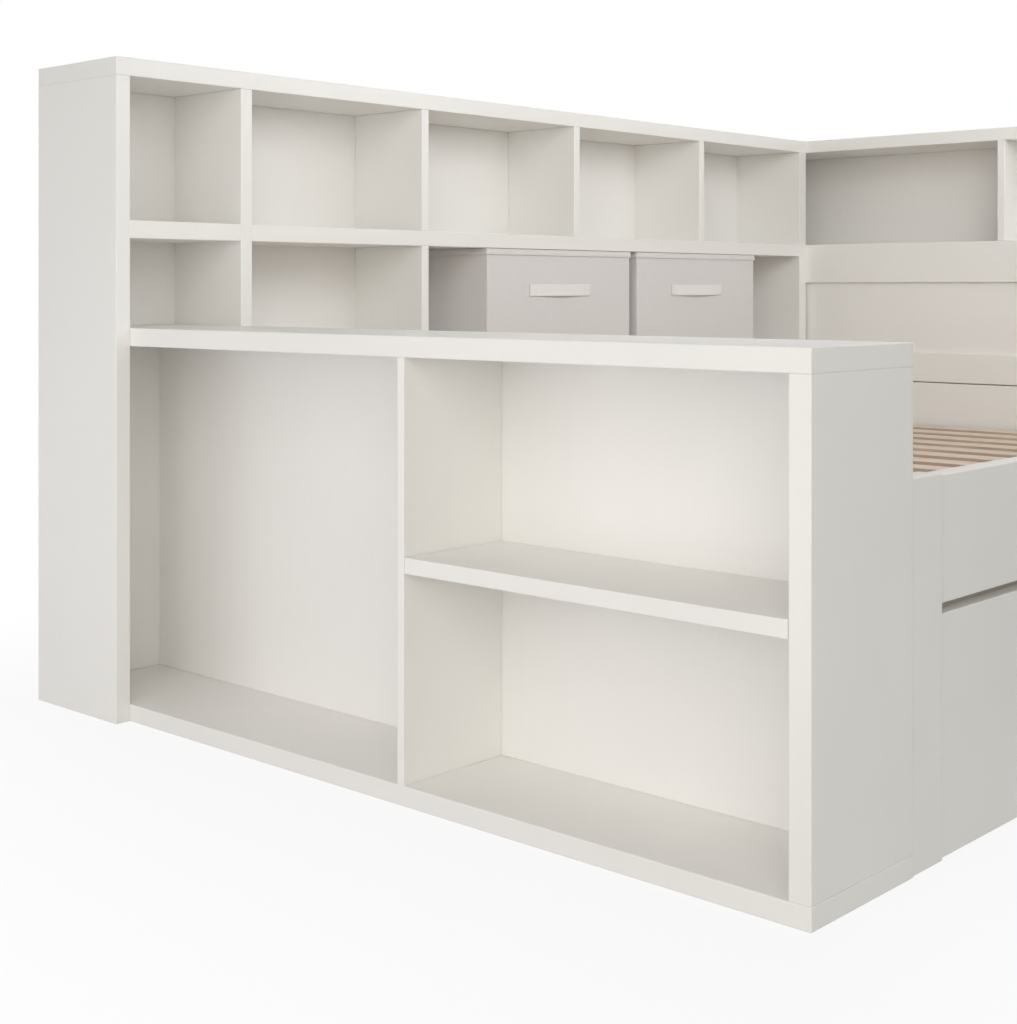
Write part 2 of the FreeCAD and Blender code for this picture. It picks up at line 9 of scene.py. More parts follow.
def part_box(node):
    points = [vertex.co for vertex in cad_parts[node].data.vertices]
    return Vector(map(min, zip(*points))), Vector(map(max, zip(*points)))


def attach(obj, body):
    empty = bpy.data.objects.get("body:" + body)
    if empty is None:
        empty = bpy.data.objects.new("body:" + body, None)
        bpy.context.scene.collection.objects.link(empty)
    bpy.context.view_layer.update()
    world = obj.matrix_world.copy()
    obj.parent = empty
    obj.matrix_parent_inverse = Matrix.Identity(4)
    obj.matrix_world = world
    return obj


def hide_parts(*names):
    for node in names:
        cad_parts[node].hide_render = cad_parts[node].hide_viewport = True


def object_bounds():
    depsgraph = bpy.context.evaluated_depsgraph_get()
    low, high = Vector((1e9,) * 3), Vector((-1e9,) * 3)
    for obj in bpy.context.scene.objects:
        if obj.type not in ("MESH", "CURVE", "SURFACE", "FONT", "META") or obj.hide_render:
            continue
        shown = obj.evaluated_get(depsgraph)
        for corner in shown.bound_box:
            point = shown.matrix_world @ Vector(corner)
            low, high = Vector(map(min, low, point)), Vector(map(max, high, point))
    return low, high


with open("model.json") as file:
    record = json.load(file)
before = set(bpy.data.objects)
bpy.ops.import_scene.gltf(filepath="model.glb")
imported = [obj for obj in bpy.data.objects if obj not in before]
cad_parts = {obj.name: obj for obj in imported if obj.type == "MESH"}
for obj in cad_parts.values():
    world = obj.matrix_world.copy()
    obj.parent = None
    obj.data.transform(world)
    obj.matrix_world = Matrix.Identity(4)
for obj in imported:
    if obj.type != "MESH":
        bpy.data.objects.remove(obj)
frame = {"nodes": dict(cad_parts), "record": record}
CAD_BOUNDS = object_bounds()

# Looks of the bookcase headboard bed: satin off-white lacquered boards, bare softwood slats,
# and two fabric bins with lids and webbing handles. Metres, in the bed's own frame.

# ---- camera, as the photograph has it ---------------------------------------------------
IMAGE_SIZE = (1017, 1024)
FOCAL_PIXELS = 1617.8
HORIZON_Y = 288.7
MIDDLE_X = 509.3                          # where the lens looks straight ahead
CAMERA_FROM_CORNER = (1.0663, -1.7105)    # from the foot bookcase's right front corner
CAMERA_HEIGHT = 0.790
CAMERA_TURN = 42.51                       # degrees to the left of straight ahead
SENSOR = 36.0

# ---- colours, linear --------------------------------------------------------------------
LACQUER = (0.915, 0.902, 0.872)
BACK_LACQUER = (0.92, 0.902, 0.874)
# lighter arrises: rub wear and a painted highlight along the rounded edges
ARRIS_RUB_AND_HIGHLIGHT = (0.99, 0.985, 0.975)
DRAWER_FOIL = (0.83, 0.82, 0.79)
PINE_LIGHT = (0.81, 0.665, 0.55)
PINE_DARK = (0.60, 0.425, 0.30)
SIDE_PAINTED_SHADE = 0.45                         # painted shade: how much darker the upright (sawn) sides of the slats and other pine pieces are drawn
BEECH_LIGHT = (0.60, 0.42, 0.26)
BEECH_DARK = (0.45, 0.29, 0.16)
STEEL = (0.62, 0.63, 0.64)
WHEEL_GREY = (0.10, 0.10, 0.105)
LINEN = (0.815, 0.793, 0.785)
LINEN_DARK = (0.71, 0.675, 0.655)
WEBBING = (0.92, 0.905, 0.89)
THREAD = (0.80, 0.77, 0.74)
FLOOR = (0.60, 0.60, 0.597)
BRIGHT_STEEL = (0.78, 0.78, 0.78)         # zinc rubbed bright on edges

# ---- texture sizes ------------------------------------------------------------------------
BOARD_ARRIS = 0.0032                      # how far the lacquered boards' arrises are rounded
FOIL_ARRIS = 0.001
STEEL_ARRIS = 0.0008
PLASTIC_ARRIS = 0.0012
FLAT_DOT, ROUND_DOT = 0.99, 0.86          # true normal against rounded: on a flat, on an arris
LINEN_PITCH = 0.0011                      # from thread to thread
WEBBING_PITCH = 0.0019
WAVE_PERIOD = 0.314159                    # of Blender's wave texture, at scale 1
SLUB_WAYS = ((60, 60, 900), (900, 70, 70))    # slubs lie level, and upright

# ---- stage and lamps ----------------------------------------------------------------------
FLOOR_HALF = 14.0
GLOW_EDGE = (0.94, 0.96)                  # the floor's white starts here, in half footprints
GLOW_REACH = (1.0, 1.9)                   # and grows to full white over this
GLOW_NEAR = 0.90                          # how white the floor is close to the bed
WORLD_COLOUR = (1.0, 0.985, 0.95, 1.0)
WORLD_STRENGTH = 0.33
WHITE = (1.0, 1.0, 1.0)
LAMPS = (                                 # name, place, target, size, watts, colour
    ("front_softbox", (-0.35, -2.7, 0.42), (-0.3, -1.2, 0.55), (1.9, 0.9), 6.6, (0.95, 0.94, 1.0)),
    ("camera_softbox", (2.4, -3.9, 0.95), (-0.2, -0.3, 0.6), (2.4, 1.4), 10, (1.0, 0.90, 0.76)),
    ("high_softbox", (2.6, -4.1, 1.95), (0.0, -0.2, 0.5), (3.2, 2.9), 61, (1.0, 0.998, 0.965)),
    ("bedside_softbox", (0.78, 0.0, 1.5), (-0.85, 0.02, 0.78), (2.0, 0.6), 9.3, (0.96, 0.98, 1.0)),
    ("right_softbox", (4.4, 0.6, 1.3), (0.6, -0.1, 0.5), (2.4, 1.4), 7, WHITE),
    ("back_softbox", (-0.6, 4.8, 1.9), (-0.2, 1.0, 0.6), (2.4, 2.0), 50, WHITE),
    ("left_softbox", (-4.6, 0.4, 1.8), (-0.8, 0.0, 0.6), (2.6, 1.8), 54, WHITE))


# ---- node graphs ------------------------------------------------------------------------
class Graph:
    """A material's node tree, with short calls for the nodes used here."""

    def __init__(self, name):
        self.material = bpy.data.materials.new(name)
        self.material.use_nodes = True
        self.tree = self.material.node_tree
        self.shader = self.tree.nodes["Principled BSDF"]
        self.place = self.add("ShaderNodeTexCoord").outputs["Object"]

    def add(self, kind, **settings):
        node = self.tree.nodes.new(kind)
        for key, value in settings.items():
            setattr(node, key, value)
        return node

    def put(self, socket, value):
        if isinstance(value, bpy.types.NodeSocket):
            self.tree.links.new(value, socket)
        else:
            socket.default_value = value

    def scaled(self, scale, offset=(0, 0, 0)):
        node = self.add("ShaderNodeMapping")
        self.put(node.inputs["Vector"], self.place)
        node.inputs["Scale"].default_value = scale
        node.inputs["Location"].default_value = offset
        return node.outputs["Vector"]

    def noise(self, scale, detail=3.0, vector=None, rough=0.5, distort=0.0):
        node = self.add("ShaderNodeTexNoise")
        self.put(node.inputs["Vector"], vector or self.place)
        node.inputs["Scale"].default_value = scale
        node.inputs["Detail"].default_value = detail
        node.inputs["Roughness"].default_value = rough
        node.inputs["Distortion"].default_value = distort
        return node.outputs["Fac"]

    def math(self, operation, a, b=0.0):
        node = self.add("ShaderNodeMath", operation=operation)
        self.put(node.inputs[0], a)
        self.put(node.inputs[1], b)
        return node.outputs[0]

    def range(self, value, low, high, to_low=0.0, to_high=1.0):
        node = self.add("ShaderNodeMapRange")
        limits = {"From Min": low, "From Max": high, "To Min": to_low, "To Max": to_high}
        for name, number in limits.items():
            node.inputs[name].default_value = number
        self.put(node.inputs["Value"], value)
        return node.outputs["Result"]

    def mix(self, share, a, b):
        node = self.add("ShaderNodeMix", data_type="RGBA")
        self.put(node.inputs["Factor"], share)
        self.put(node.inputs["A"], a if isinstance(a, bpy.types.NodeSocket) else (*a, 1.0))
        self.put(node.inputs["B"], b if isinstance(b, bpy.types.NodeSocket) else (*b, 1.0))
        return node.outputs["Result"]

    def bump(self, height, distance, strength=1.0, normal=None):
        node = self.add("ShaderNodeBump")
        node.inputs["Distance"].default_value = distance
        node.inputs["Strength"].default_value = strength
        self.put(node.inputs["Height"], height)
        if normal:
            self.put(node.inputs["Normal"], normal)
        return node.outputs["Normal"]

    def rounded(self, radius, samples=6):
        """The surface's normal with its arrises rounded over."""
        bevel = self.add("ShaderNodeBevel", samples=samples)
        bevel.inputs["Radius"].default_value = radius
        return bevel.outputs["Normal"]

    def edges(self, rounded):
        """1 on arrises, 0 on flat faces, from the rounded normal."""
        true = self.add("ShaderNodeNewGeometry").outputs["True Normal"]
        dot = self.add("ShaderNodeVectorMath", operation="DOT_PRODUCT")
        self.put(dot.inputs[0], rounded)
        self.put(dot.inputs[1], true)
        return self.range(dot.outputs["Value"], FLAT_DOT, ROUND_DOT)

    def finish(self, colour, roughness, normal=None, **constants):
        self.put(self.shader.inputs["Base Color"], colour)
        self.put(self.shader.inputs["Roughness"], roughness)
        if normal:
            self.put(self.shader.inputs["Normal"], normal)
        for name, value in constants.items():
            self.shader.inputs[name.replace("_", " ")].default_value = value
        return self.material


def tint(colour, factor):
    return tuple(min(1.0, part * factor) for part in colour)


def stretched(across, lengthwise, axis):
    """Texture scales for a pattern that runs long along one axis."""
    return [lengthwise if i == axis else across for i in range(3)]


def lacquer(name, colour, along, seed):
    """Satin lacquer over board: tone drift, orange peel, the ground's faint grain, and rubbed arrises
    that are also lightened as a painted highlight.
    """
    g = Graph(name)
    grain = g.noise(1.0, 4.0, g.scaled(stretched(150.0, 5.0, along), (seed, 0, seed)))
    drift = g.noise(1.7, 3.0, g.scaled((1, 1, 1), (seed, 2 * seed, 0)))
    base = g.mix(g.range(drift, 0.35, 0.65), tint(colour, 0.975), tint(colour, 1.012))
    nibs = g.noise(260, 2.0)
    base = g.mix(g.range(nibs, 0.66, 0.76, 0.0, 0.35), base, tint(colour, 0.93))
    base = g.mix(g.range(grain, 0.45, 0.68, 0.0, 0.12), base, tint(colour, 0.945))
    eased = g.rounded(BOARD_ARRIS, 8)
    # arrises mixed towards the lighter colour: rub wear, and a painted highlight standing in for light
    # caught by the rounded arris
    rubbed_and_highlit = g.math("MULTIPLY", g.edges(eased), g.range(g.noise(38, 4.0), 0.35, 0.62, 0.55, 1.0))
    base = g.mix(rubbed_and_highlit, base, ARRIS_RUB_AND_HIGHLIGHT)
    cloud = g.noise(9, 4.0)
    roughness = g.math("ADD", g.range(cloud, 0.3, 0.7, 0.34, 0.44), g.range(nibs, 0.5, 0.75, 0.0, 0.06))
    peel = g.bump(g.noise(420, 1.5), 0.00012, 0.35, eased)
    wave = g.bump(g.noise(7, 2.0), 0.0008, 0.12, g.bump(grain, 0.0001, 0.08, peel))
    return g.finish(base, roughness, wave, Specular_IOR_Level=0.5, Coat_Weight=0.12, Coat_Roughness=0.22)


def foil(name, colour, seed):
    """Matt melamine foil with a very fine pressed grain."""
    g = Graph(name)
    fibre = g.noise(1.0, 5.0, g.scaled((14, 220, 220), (seed, 0, 0)))
    base = g.mix(g.range(fibre, 0.35, 0.65), tint(colour, 0.97), tint(colour, 1.02))
    # arrises drawn lighter than the face
    lighter_arris = g.math("MULTIPLY", g.edges(g.rounded(FOIL_ARRIS)), 0.5)
    base = g.mix(lighter_arris, base, tint(colour, 1.08))
    roughness = g.range(g.noise(25, 3.0), 0.3, 0.7, 0.5, 0.62)
    return g.finish(base, roughness, g.bump(fibre, 0.0001, 0.4), Specular_IOR_Level=0.4)


def softwood(name, light, dark, along, seed):
    """Planed softwood: long grain along one axis, with growth lines, pores and a few knots, and painted
    shade on its upright faces.
    """
    g = Graph(name)
    place = g.scaled(stretched(26.0, 1.1, along), (seed, seed * 0.7, seed * 0.3))
    lines = g.noise(1.0, 6.0, place, 0.55, 1.2)
    fibre = g.noise(1.0, 3.0, g.scaled(stretched(420.0, 9.0, along)))
    rings = g.math("PINGPONG", g.math("MULTIPLY", lines, 9.0), 0.5)
    late = g.range(rings, 0.28, 0.5)
    tone = g.noise(3.1, 2.0, g.scaled(stretched(6.0, 1.0, along), (0, seed, 0)))
    ground = g.mix(g.range(tone, 0.3, 0.7), tint(light, 0.92), tint(light, 1.06))
    base = g.mix(g.math("MULTIPLY", late, 0.5), ground, dark)
    base = g.mix(g.range(fibre, 0.55, 0.8, 0.0, 0.22), base, tint(dark, 0.8))
    knots = g.add("ShaderNodeTexVoronoi", feature="F1")
    g.put(knots.inputs["Vector"], g.scaled(stretched(13.0, 2.6, along), (0.3, 0.1, 0.0)))
    knots.inputs["Scale"].default_value = 1.0
    knot = g.range(knots.outputs["Distance"], 0.02, 0.07, 1.0, 0.0)
    base = g.mix(g.math("MULTIPLY", knot, 0.5), base, tint(dark, 0.55))
    # painted shade: upright faces, such as the slats' sides seen in the gaps between them, are drawn
    # darker and browner in place of the shade they lie in
    facing = g.add("ShaderNodeSeparateXYZ")
    g.put(facing.inputs[0], g.add("ShaderNodeNewGeometry").outputs["True Normal"])
    upright_painted_shade = g.math("SUBTRACT", 1.0, g.math("ABSOLUTE", facing.outputs[2]))
    base = g.mix(g.math("MULTIPLY", upright_painted_shade, SIDE_PAINTED_SHADE), base, tint(dark, 0.75))
    grain = g.bump(g.math("ADD", g.math("MULTIPLY", late, 0.4), fibre), 0.0002, 0.5)
    rough = g.range(g.math("SUBTRACT", fibre, late), -0.6, 0.7, 0.66, 0.5)
    return g.finish(base, rough, grain, Specular_IOR_Level=0.35)


def zinc_steel(name):
    g = Graph(name)
    spangle = g.add("ShaderNodeTexVoronoi", feature="F1")
    g.put(spangle.inputs["Vector"], g.place)
    spangle.inputs["Scale"].default_value = 240.0
    brushed = g.noise(1.0, 4.0, g.scaled((900, 900, 60)))
    base = g.mix(g.range(spangle.outputs["Distance"], 0.1, 0.7), tint(STEEL, 0.86), tint(STEEL, 1.08))
    base = g.mix(g.math("MULTIPLY", g.edges(g.rounded(STEEL_ARRIS)), 0.5), base, BRIGHT_STEEL)
    rough = g.range(brushed, 0.3, 0.7, 0.26, 0.42)
    return g.finish(base, rough, g.bump(brushed, 0.00005, 0.4), Metallic=1.0)


def moulded(name, colour):
    g = Graph(name)
    grit = g.noise(620, 3.0)
    base = g.mix(g.range(g.noise(40, 3.0), 0.3, 0.7), tint(colour, 0.85), tint(colour, 1.2))
    base = g.mix(g.math("MULTIPLY", g.edges(g.rounded(PLASTIC_ARRIS)), 0.45), base, tint(colour, 2.0))
    rough = g.range(g.noise(55, 3.0), 0.3, 0.7, 0.46, 0.6)
    return g.finish(base, rough, g.bump(grit, 0.00012, 0.5))


def threads(g, pitch):
    """Plain weave on whichever two axes lie in the face: 1 on a thread's crown, 0 between."""
    bands = []
    for axis in "XYZ":
        wave = g.add("ShaderNodeTexWave", wave_type="BANDS", bands_direction=axis)
        wave.inputs["Scale"].default_value = WAVE_PERIOD / pitch
        wave.inputs["Distortion"].default_value = 0.25
        wave.inputs["Detail"].default_value = 1.0
        g.put(wave.inputs["Vector"], g.place)
        bands.append(wave.outputs["Fac"])
    normal = g.add("ShaderNodeSeparateXYZ")
    g.put(normal.inputs[0], g.add("ShaderNodeNewGeometry").outputs["True Normal"])
    pairs = ((1, 2), (0, 2), (0, 1))
    total = 0.0
    for axis, (a, b) in enumerate(pairs):
        facing = g.math("POWER", g.math("ABSOLUTE", normal.outputs[axis]), 4.0)
        crown = g.math("MAXIMUM", bands[a], bands[b])
        total = g.math("ADD", g.math("MULTIPLY", facing, crown), total)
    return total


def cloth(name, colour, dark, pitch, slub):
    """Linen-look cloth: woven threads, thicker slubs, and a faint melange."""
    g = Graph(name)
    weave = threads(g, pitch)
    slubs = g.math("ADD", *(g.noise(1.0, 3.0, g.scaled(way)) for way in SLUB_WAYS))
    melange = g.noise(620, 3.0)
    base = g.mix(g.range(melange, 0.3, 0.7), tint(colour, 0.97), tint(colour, 1.02))
    base = g.mix(g.range(slubs, 1.06, 1.35, 0.0, slub), base, dark)
    # painted shade: darker between the thread crowns, in the weave's hollows
    base = g.mix(g.range(weave, 0.5, 0.9, 0.16, 0.0), base, tint(dark, 0.86))
    base = g.mix(g.range(g.noise(6, 3.0), 0.35, 0.7, 0.0, 0.08), base, dark)
    height = g.math("ADD", weave, g.math("MULTIPLY", slubs, 0.4))
    rough = g.range(melange, 0.3, 0.7, 0.82, 0.95)
    return g.finish(base, rough, g.bump(height, 0.00022, 0.7),
                    Sheen_Weight=0.25, Sheen_Roughness=0.5, Specular_IOR_Level=0.2)


def make_materials():
    return {
        "white_lacquer_x": lacquer("white_lacquer_along_x", LACQUER, 0, 3.0),
        "white_lacquer_y": lacquer("white_lacquer_along_y", LACQUER, 1, 5.0),
        "white_lacquer_z": lacquer("white_lacquer_along_z", LACQUER, 2, 7.0),
        "back_lacquer": lacquer("back_lacquer", BACK_LACQUER, 2, 11.0),
        "drawer_board": foil("drawer_board", DRAWER_FOIL, 5.0),
        "pine_x": softwood("pine_along_x", PINE_LIGHT, PINE_DARK, 0, 4.0),
        "pine_y": softwood("pine_along_y", PINE_LIGHT, PINE_DARK, 1, 7.0),
        "pine_z": softwood("pine_along_z", PINE_LIGHT, PINE_DARK, 2, 9.0),
        "beech": softwood("beech", BEECH_LIGHT, BEECH_DARK, 2, 2.0),
        "zinc_steel": zinc_steel("zinc_steel"),
        "wheel_plastic": moulded("wheel_plastic", WHEEL_GREY),
        "bin_fabric": cloth("bin_fabric", LINEN, LINEN_DARK, LINEN_PITCH, 0.22),
        "webbing": cloth("webbing", WEBBING, LINEN, WEBBING_PITCH, 0.15),
        "thread": moulded("thread", THREAD),
    }


def long_way(name):
    """The axis, x, y or z, along which a node is longest."""
    low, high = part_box(name)
    return "xyz"[max(range(3), key=lambda axis: high[axis] - low[axis])]


GRAIN_WAYS = {"slats": "x", "drawer_guides": "x", "slat_ledges": "y", "bed_centre_beam": "y",
              "bed_legs": "z", "bed_posts": "z"}


def dress_cad(materials):
    """Each CAD node gets the material of its record slot, with the grain along the piece."""
    slots = {part["node"]: part["material_slot"] for part in frame["record"]["subparts"]}
    for name, node in frame["nodes"].items():
        slot = slots[name]
        if slot not in materials:
            slot += "_" + GRAIN_WAYS.get(name, long_way(name))
        for place in node.material_slots:
            place.material = materials[slot]


# ---- fabric bins --------------------------------------------------------------------------
BIN_CORNER = 0.0025            # outer corner radius of the covered boards
BIN_BOARD = 0.0032             # board with its cloth
BIN_CROWN = 0.0008             # how far the cloth stands off the middle of a board
BIN_BASE = 0.003               # radius under the walls
SEAM_UP = 0.0085               # height of the base seam
SEAM_HALF = 0.0012             # half its width
SEAM_DEEP = 0.0006
INNER_ROUND = 0.002            # inside, between wall and base
WALL_STEPS = 15                # rings up the outside of a wall
INNER_STEPS = 6                # and down the inside
RUFFLE_SIZE, RUFFLE_DEEP = 0.07, 0.00022     # unevenness of cloth over board
CAP_SHARES = (0.97, 0.9, 0.75, 0.55, 0.35, 0.15)    # rings that close a skin's ends
COVER_INSET = 0.0006           # the lid's skin inside its box
COVER_CORNER = BIN_CORNER + 0.0022
COVER_EASE = 0.001             # where its inner faces meet, and under the apron
COVER_THICK = 0.0021           # the apron's board and cloth
COVER_TOP = 0.0025             # the top panel's
COVER_CROWN = 0.0003
HEM_HIGH = 0.0085              # the lid's folded hem
HEM_ROUND = 0.0012
HEM_PROUD = 0.0004             # how far it stands off the apron
LID_PIPE = 0.0008              # radius of the lid's piped edge
STITCH_LONG = 0.0030
STITCH_GAP = 0.0015
STITCH_THICK = 0.00042
STITCH_SKIN = 0.0002           # how deep the hem's stitches sit
STITCH_SIDES = 6
STITCH_RINGS = ((0.0, -0.9, 0.5), (0.2, 0.3, 1.0), (0.5, 0.6, 1.05), (0.8, 0.3, 1.0),
                (1.0, -0.9, 0.5))            # share of its length, lift, thickness
STITCH_EDGE = 0.0035           # from the webbing's edge to its seam
STITCH_DOWN = 0.0024           # from the hem's top to its seam
STITCH_CORNER = BIN_CORNER + 0.004    # the hem's seam stops this far from a corner
STRAP_CLOTH = 0.00125          # one layer of webbing
STRAP_TAB = 0.026              # sewn length at each end
STRAP_FOLD = 0.0235            # how much is folded under
STRAP_AIR = 0.0002             # between the folded layers
STRAP_RIB = 0.00012            # depth of the webbing's ribs
STRAP_RIBS = 18
STRAP_BOW = 14                 # steps in half the bow


def outline(half_x, half_y, radius, steps=22, turn=6):
    """A rounded rectangle: (x, y), outward normal, and 1 mid-side falling to 0 at corners."""
    sides = (((1, 0), half_x, half_y), ((0, 1), half_y, half_x),
             ((-1, 0), half_x, half_y), ((0, -1), half_y, half_x))
    points = []
    for number, ((nx, ny), reach, across) in enumerate(sides):
        tx, ty = -ny, nx
        for step in range(steps):
            t = -1 + 2 * (step + 0.5) / steps
            off = t * (across - radius)
            points.append(((nx * reach + tx * off, ny * reach + ty * off), (nx, ny), 1 - t * t))
        cx = nx * (reach - radius) + tx * (across - radius)
        cy = ny * (reach - radius) + ty * (across - radius)
        start = number * math.pi / 2
        for step in range(turn + 1):
            a = start + math.pi / 2 * step / turn
            points.append(((cx + radius * math.cos(a), cy + radius * math.sin(a)),
                           (math.cos(a), math.sin(a)), 0.0))
    return points


def ruffle(x, y, z):
    """Faint unevenness of cloth over a board."""
    return RUFFLE_DEEP * noise.noise(Vector((x / RUFFLE_SIZE, y / RUFFLE_SIZE, z / RUFFLE_SIZE)))


def lofted(name, centre, points, rings, caps, crown):
    """A closed skin through rings of (outset, z, crown share), capped at both ends."""
    verts, faces = [], []
    count = len(points)
    for outset, z, share in rings:
        for (x, y), (nx, ny), middle in points:
            push = outset + crown * share * middle + ruffle(x + nx, y + ny, z) * share
            verts.append((centre.x + x + nx * push, centre.y + y + ny * push, z))
    for ring in range(len(rings) - 1):
        for i in range(count):
            j = (i + 1) % count
            a, b = ring * count, (ring + 1) * count
            faces.append((a + i, a + j, b + j, b + i))
    for ring, rise, flip in ((0, caps[0], True), (len(rings) - 1, caps[1], False)):
        before = [ring * count + i for i in range(count)]
        edge = [verts[i] for i in before]
        for share in CAP_SHARES:
            now = []
            for x, y, z in edge:
                now.append(len(verts))
                verts.append((centre.x + (x - centre.x) * share, centre.y + (y - centre.y) * share,
                              z + rise * (1 - share ** 2)))
            for i in range(count):
                j = (i + 1) % count
                quad = (before[i], before[j], now[j], now[i])
                faces.append(quad[::-1] if flip else quad)
            before = now
        faces.append(tuple(before[::-1]) if flip else tuple(before))
    return new_piece(name, verts, faces)


def new_piece(name, verts, faces):
    mesh = bpy.data.meshes.new(name)
    mesh.from_pydata(verts, [], faces)
    mesh.update()
    mesh.shade_smooth()
    piece = bpy.data.objects.new(name, mesh)
    bpy.context.scene.collection.objects.link(piece)
    return piece


def arc(radius, start, end, steps):
    """Quarter or half rounds as (outward, upward) offsets, angles in degrees."""
    turns = [math.radians(start + (end - start) * i / steps) for i in range(steps + 1)]
    return [(radius * math.cos(a), radius * math.sin(a)) for a in turns]


def bin_body(name, low, high):
    """Cloth-covered boards: rounded base seam, slightly full walls, folded rim, lined inside."""
    centre = (low + high) / 2
    half_x, half_y = (high.x - low.x) / 2, (high.y - low.y) / 2
    points = outline(half_x - BIN_CROWN, half_y - BIN_CROWN, BIN_CORNER)
    rim = BIN_BOARD / 2
    rings = [(out - BIN_BASE, low.z + BIN_BASE + up, 0.0) for out, up in arc(BIN_BASE, -90, 0, 4)]
    seam = low.z + SEAM_UP
    rings += [(0.0, seam - SEAM_HALF, 0.0), (-SEAM_DEEP, seam, 0.0), (0.0, seam + SEAM_HALF, 0.05)]
    tall = high.z - rim - (seam + SEAM_HALF)
    for step in range(1, WALL_STEPS):
        share = step / WALL_STEPS
        rings.append((0.0, seam + SEAM_HALF + tall * share, 4 * share * (1 - share)))
    rings += [(out - rim, high.z - rim + up, 0.0) for out, up in arc(rim, 0, 180, 6)]
    inside = low.z + BIN_BOARD + INNER_ROUND
    for step in range(1, INNER_STEPS):
        rings.append((-BIN_BOARD, high.z - rim + (inside - high.z + rim) * step / INNER_STEPS, 0.0))
    rings += [(out - BIN_BOARD - INNER_ROUND, inside + up, 0.0)
              for out, up in arc(INNER_ROUND, 0, -90, 3)]
    return lofted(name, centre, points, rings, (SEAM_DEEP, 0.0), BIN_CROWN)


def bin_cover(name, low, high):
    """The lid: a full top panel with a piped edge, and a hemmed apron round it."""
    centre = (low + high) / 2
    half_x, half_y = (high.x - low.x) / 2, (high.y - low.y) / 2
    points = outline(half_x - COVER_INSET, half_y - COVER_INSET, COVER_CORNER)
    inner, under = -COVER_THICK, high.z - COVER_TOP
    rings = [(inner - COVER_EASE, under, 0.0), (inner, under - COVER_EASE, 0.0),
             (inner, low.z + HEM_HIGH, 0.0), (inner, low.z + COVER_EASE, 0.0)]
    rings += [(HEM_PROUD - HEM_ROUND + out, low.z + COVER_EASE + up, 0.0)
              for out, up in arc(HEM_ROUND, 250, 360, 5)]
    rings += [(HEM_PROUD, low.z + HEM_HIGH - COVER_EASE, 0.3), (-0.0002, low.z + HEM_HIGH, 0.3)]
    pipe = high.z - 0.0001 - LID_PIPE
    rings += [(-0.0002, pipe - 0.0016, 0.3), (-0.0005, pipe - 0.0009, 0.0)]
    rings += [(out - LID_PIPE, pipe + up, 0.0) for out, up in arc(LID_PIPE, -40, 100, 7)]
    rings += [(-0.0016, pipe + 0.0005, 0.0), (-0.0030, pipe + 0.0006, 0.0)]
    return lofted(name, centre, points, rings, (0.0, COVER_CROWN), COVER_CROWN)


def strap_ground(low):
    """Where the cloth lies under the webbing's sewn ends."""
    return low.x + BIN_CROWN * 0.8


def strap_path(low, high):
    """The webbing's middle line in plan: folded under, sewn flat, bowed out, and back."""
    middle, reach = (low.y + high.y) / 2, (high.y - low.y) / 2
    half, face = STRAP_CLOTH / 2, strap_ground(low)
    turn = half + STRAP_AIR
    top = face + half + 2 * turn
    end, tab = reach - turn - half, reach - STRAP_TAB
    side = [(face + half, reach - STRAP_FOLD + 0.004 * i) for i in range(5)]
    fold = [(face + half + turn + out, end + up) for out, up in arc(turn, 180, 0, 8)]
    side = [p for p in side if p[1] < end] + fold
    side += [(top, end - (end - tab) * i / 4) for i in range(1, 5)]
    bow = high.x - half - top
    span = [tab * (1 - i / STRAP_BOW) for i in range(1, STRAP_BOW + 1)]
    side += [(top + bow * (1 + math.cos(math.pi * y / tab)) / 2, y) for y in span]
    path = [(x, middle + y) for x, y in side]
    return path + [(x, 2 * middle - y) for x, y in reversed(path[:-1])]


def bin_strap(name, low, high):
    """Ribbed webbing swept along its path, with rounded selvedges."""
    path = strap_path(low, high)
    middle, reach = (low.z + high.z) / 2, (high.z - low.z) / 2
    half = STRAP_CLOTH / 2
    cross = [(half, reach * (-0.97 + 1.94 * i / STRAP_RIBS)) for i in range(STRAP_RIBS + 1)]
    cross = [(out - STRAP_RIB * (i % 2), up) for i, (out, up) in enumerate(cross)]
    cross += [(0.0, reach)] + [(-out, up) for out, up in reversed(cross)] + [(0.0, -reach)]
    verts, faces = [], []
    for i, (x, y) in enumerate(path):
        before, after = path[max(0, i - 1)], path[min(len(path) - 1, i + 1)]
        along = Vector((after[0] - before[0], after[1] - before[1], 0)).normalized()
        normal = Vector((along.y, -along.x, 0))
        verts += [(x + normal.x * out, y + normal.y * out, middle + up) for out, up in cross]
    count = len(cross)
    for ring in range(len(path) - 1):
        for i in range(count):
            j = (i + 1) % count
            a, b = ring * count, (ring + 1) * count
            faces.append((a + i, b + i, b + j, a + j))
    faces.append(tuple(range(count)))
    faces.append(tuple((len(path) - 1) * count + i for i in reversed(range(count))))
    piece = new_piece(name, verts, faces)
    turn_out(piece)
    return piece


def turn_out(piece):
    """Makes every face of a closed piece look outward."""
    skin = bmesh.new()
    skin.from_mesh(piece.data)
    bmesh.ops.recalc_face_normals(skin, faces=skin.faces)
    skin.to_mesh(piece.data)
    skin.free()


